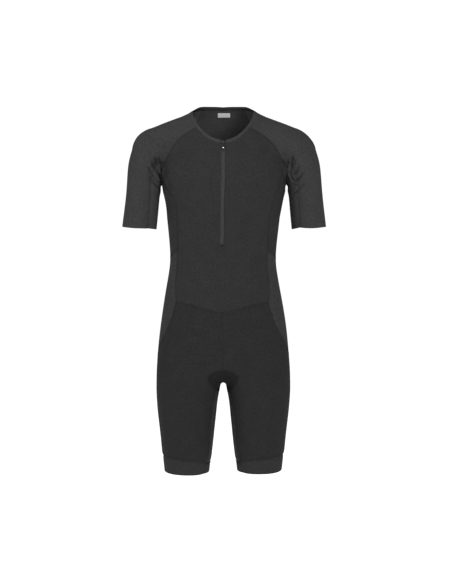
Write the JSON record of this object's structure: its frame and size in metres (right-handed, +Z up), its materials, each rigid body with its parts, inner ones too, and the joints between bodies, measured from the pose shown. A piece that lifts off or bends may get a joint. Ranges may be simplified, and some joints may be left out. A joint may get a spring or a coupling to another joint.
{
  "type": "triathlon suit",
  "caption": "Short-sleeved one-piece triathlon suit with a half zip, raglan sleeves, side mesh and leg grippers, in its worn hollow form.",
  "frame": {"origin": "between the wearer's shoulders, at the level where the shoulders carry the suit", "axes": "+Z up along the worn suit, the front with its zip faces -Y, +X is the wearer's left"},
  "size_m": [0.5266, 0.2304, 0.9588],
  "materials": {
    "front_knit": "smooth matt warp knit with a faint sheen",
    "sleeve_knit": "finely ribbed matt knit",
    "side_mesh": "fine open mesh, matt",
    "seat_knit": "smooth knit, a little lighter",
    "leg_knit": "dense smooth knit, matt",
    "gusset_knit": "dense knit, matt",
    "gripper": "elastic knit band",
    "binding": "folded knit binding with a soft sheen",
    "zip_tape": "woven tape",
    "zip_coil": "closed coils under knitted tape",
    "label": "blank satin label",
    "slider_metal": "black lacquered metal"
  },
  "bodies": {
    "suit": {"front_panel": "front_knit", "back_panel": "front_knit", "back_yoke": "front_knit", "sleeve_left": "sleeve_knit", "sleeve_right": "sleeve_knit", "under_sleeve_left": "sleeve_knit", "under_sleeve_right": "sleeve_knit", "side_mesh_left": "side_mesh", "side_mesh_right": "side_mesh", "seat_panel": "seat_knit", "leg_left": "leg_knit", "leg_right": "leg_knit", "crotch_gusset": "gusset_knit", "inner_leg_left": "gusset_knit", "inner_leg_right": "gusset_knit", "leg_gripper_left": "gripper", "leg_gripper_right": "gripper", "neck_binding": "binding", "zip_garage": "binding", "zip_tape_left": "zip_tape", "zip_tape_right": "zip_tape", "zip_chain": "zip_coil", "neck_label": "label", "zip_slider": "slider_metal"},
    "pull_tab": {"pull_tab": "slider_metal"}
  },
  "joints": [
    {"name": "pull_tab_swing", "type": "hinge", "parent": "suit", "child": "pull_tab", "pos_m": [0.0005, -0.09304, -0.08812], "axis": [-1, 0, 0], "range_deg": [0, 165]}
  ]
}
